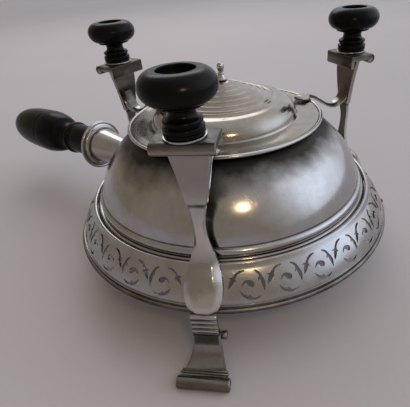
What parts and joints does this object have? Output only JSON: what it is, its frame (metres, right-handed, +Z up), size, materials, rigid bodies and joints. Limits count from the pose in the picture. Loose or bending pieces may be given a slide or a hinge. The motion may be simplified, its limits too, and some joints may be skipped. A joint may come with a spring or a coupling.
{
  "type": "dish warmer",
  "caption": "Round silver dish warmer with pierced rim, ash pan, strap legs on turned wooden feet, hinged dish supports and a wooden side handle, standing mouth down.",
  "frame": {"origin": "middle of the bounding box, on the plane that the dish supports stand on", "axes": "+Z up as pictured, mouth down and wooden feet up; the handle runs along -X; Y crosses it"},
  "size_m": [0.3098, 0.196, 0.1278],
  "materials": {
    "polished_silver": "polished, slightly tarnished",
    "aged_silver": "tarnished",
    "fire_iron": "scaled by fire",
    "screw_iron": "dull",
    "ebonised_wood": "satin black stain"
  },
  "bodies": {
    "warmer": {"bowl": "polished_silver", "mouth_moulding": "polished_silver", "pierced_rim": "polished_silver", "rim_wire": "polished_silver", "ash_pan": "polished_silver", "pan_brim_wire": "polished_silver", "pan_nut": "polished_silver", "pan_bolt": "aged_silver", "pan_sleeve": "aged_silver", "bolt_washer": "aged_silver", "charcoal_grate": "fire_iron", "handle_socket": "polished_silver", "socket_ring": "polished_silver", "handle_grip": "ebonised_wood", "grip_pin": "aged_silver", "leg_front": "polished_silver", "foot_disc_front": "polished_silver", "foot_front": "ebonised_wood", "foot_screw_front": "screw_iron", "leg_right": "polished_silver", "foot_disc_right": "polished_silver", "foot_right": "ebonised_wood", "foot_screw_right": "screw_iron", "leg_handle": "polished_silver", "foot_disc_handle": "polished_silver", "foot_handle": "ebonised_wood", "foot_screw_handle": "screw_iron"},
    "support_front": {"dish_support_front": "polished_silver", "hinge_pin_front": "aged_silver"},
    "support_right": {"dish_support_right": "polished_silver", "hinge_pin_right": "aged_silver"},
    "support_handle": {"dish_support_handle": "polished_silver", "hinge_pin_handle": "aged_silver"}
  },
  "joints": [
    {"name": "support_hinge_front", "type": "hinge", "parent": "warmer", "child": "support_front", "pos_m": [0.10706, -0.07441, 0.0132], "axis": [0.8862, 0.4633, 0], "range_deg": [0, 120]},
    {"name": "support_hinge_right", "type": "hinge", "parent": "warmer", "child": "support_right", "pos_m": [0.11408, 0.07445, 0.0132], "axis": [-0.8387, 0.5446, 0], "range_deg": [0, 120]},
    {"name": "support_hinge_handle", "type": "hinge", "parent": "warmer", "child": "support_handle", "pos_m": [-0.01922, 0.00207, 0.0132], "axis": [0, -1, 0], "range_deg": [0, 120]}
  ]
}
